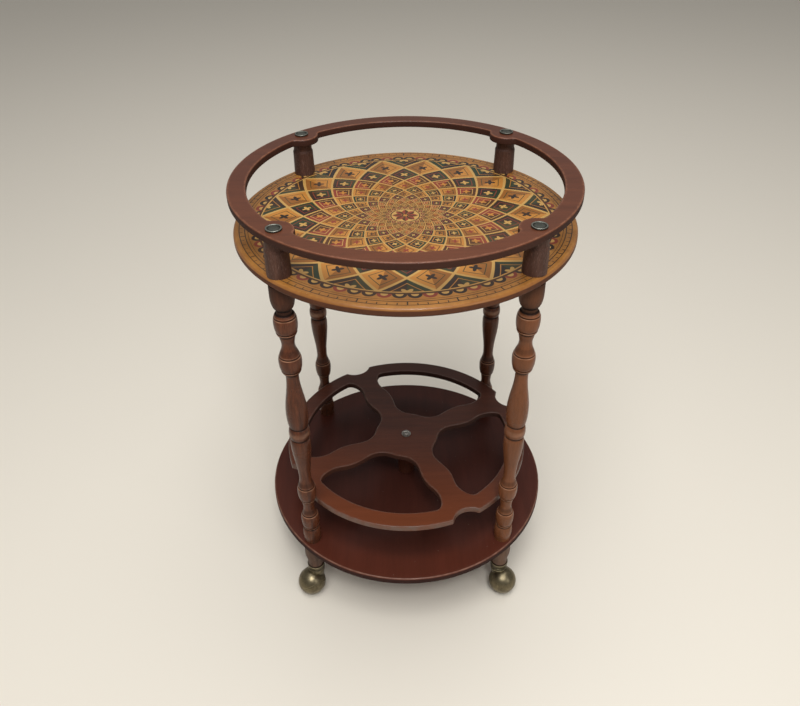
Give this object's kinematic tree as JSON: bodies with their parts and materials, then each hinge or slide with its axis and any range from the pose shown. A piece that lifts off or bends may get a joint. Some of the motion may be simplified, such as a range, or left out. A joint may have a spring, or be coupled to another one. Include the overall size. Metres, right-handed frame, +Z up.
{
  "type": "bar cart",
  "caption": "Round two-tier wooden bar cart with a gallery rail, printed tray, turned legs, revolving bottle rack over a lower shelf, and brass ball casters.",
  "frame": {"origin": "on the floor under the centre of the tray", "axes": "+Z up, -Y towards the picture's viewer, +X to the viewer's right"},
  "size_m": [0.4819, 0.482, 0.7015],
  "materials": {
    "ring_wood": "satin dark red-brown lacquer",
    "turned_wood": "satin walnut stain with open pores",
    "shelf_wood": "glossy dark mahogany lacquer",
    "rack_wood": "satin brown lacquer",
    "tray_print": "glossy lacquer over a patterned print",
    "cap_metal": "dark pewter",
    "antique_brass": "aged brass plate",
    "plain_brass": "turned",
    "zinc_steel": "zinc plate"
  },
  "bodies": {
    "frame": {"gallery_ring": "ring_wood", "cap_bolts": "cap_metal", "tray": "tray_print", "leg_inserts": "plain_brass", "lower_shelf": "shelf_wood", "shelf_screws": "zinc_steel", "rack_column": "rack_wood", "rack_bush": "plain_brass", "pivot_bolt": "zinc_steel", "pivot_washers": "zinc_steel", "pivot_nut": "zinc_steel", "gallery_post_back_right": "turned_wood", "leg_back_right": "turned_wood", "foot_back_right": "turned_wood", "caster_socket_back_right": "antique_brass", "gallery_post_back_left": "turned_wood", "leg_back_left": "turned_wood", "foot_back_left": "turned_wood", "caster_socket_back_left": "antique_brass", "gallery_post_front_left": "turned_wood", "leg_front_left": "turned_wood", "foot_front_left": "turned_wood", "caster_socket_front_left": "antique_brass", "gallery_post_front_right": "turned_wood", "leg_front_right": "turned_wood", "foot_front_right": "turned_wood", "caster_socket_front_right": "antique_brass"},
    "rack": {"bottle_rack": "rack_wood"},
    "swivel_back_right": {"caster_stem_back_right": "zinc_steel", "caster_hood_back_right": "antique_brass", "caster_axle_back_right": "zinc_steel"},
    "wheel_back_right": {"caster_wheel_back_right": "antique_brass"},
    "swivel_back_left": {"caster_stem_back_left": "zinc_steel", "caster_hood_back_left": "antique_brass", "caster_axle_back_left": "zinc_steel"},
    "wheel_back_left": {"caster_wheel_back_left": "antique_brass"},
    "swivel_front_left": {"caster_stem_front_left": "zinc_steel", "caster_hood_front_left": "antique_brass", "caster_axle_front_left": "zinc_steel"},
    "wheel_front_left": {"caster_wheel_front_left": "antique_brass"},
    "swivel_front_right": {"caster_stem_front_right": "zinc_steel", "caster_hood_front_right": "antique_brass", "caster_axle_front_right": "zinc_steel"},
    "wheel_front_right": {"caster_wheel_front_right": "antique_brass"}
  },
  "joints": [
    {"name": "rack_turn", "type": "hinge", "parent": "frame", "child": "rack", "pos_m": [0, 0, 0.2097], "axis": [0, 0, 1], "continuous": true},
    {"name": "swivel_back_right", "type": "hinge", "parent": "frame", "child": "swivel_back_right", "pos_m": [0.15768, 0.15768, 0.05], "axis": [0, 0, 1], "continuous": true},
    {"name": "roll_back_right", "type": "hinge", "parent": "swivel_back_right", "child": "wheel_back_right", "pos_m": [0.16368, 0.16808, 0.0235], "axis": [-0.6124, 0.3536, -0.7071], "continuous": true},
    {"name": "swivel_back_left", "type": "hinge", "parent": "frame", "child": "swivel_back_left", "pos_m": [-0.15768, 0.15768, 0.05], "axis": [0, 0, 1], "continuous": true},
    {"name": "roll_back_left", "type": "hinge", "parent": "swivel_back_left", "child": "wheel_back_left", "pos_m": [-0.16896, 0.16179, 0.0235], "axis": [-0.2418, -0.6645, -0.7071], "continuous": true},
    {"name": "swivel_front_left", "type": "hinge", "parent": "frame", "child": "swivel_front_left", "pos_m": [-0.15768, -0.15768, 0.05], "axis": [0, 0, 1], "continuous": true},
    {"name": "roll_front_left", "type": "hinge", "parent": "swivel_front_left", "child": "wheel_front_left", "pos_m": [-0.16714, -0.16507, 0.0235], "axis": [0.4353, -0.5572, -0.7071], "continuous": true},
    {"name": "swivel_front_right", "type": "hinge", "parent": "frame", "child": "swivel_front_right", "pos_m": [0.15768, -0.15768, 0.05], "axis": [0, 0, 1], "continuous": true},
    {"name": "roll_front_right", "type": "hinge", "parent": "swivel_front_right", "child": "wheel_front_right", "pos_m": [0.16507, -0.16714, 0.0235], "axis": [0.5572, 0.4353, -0.7071], "continuous": true}
  ]
}
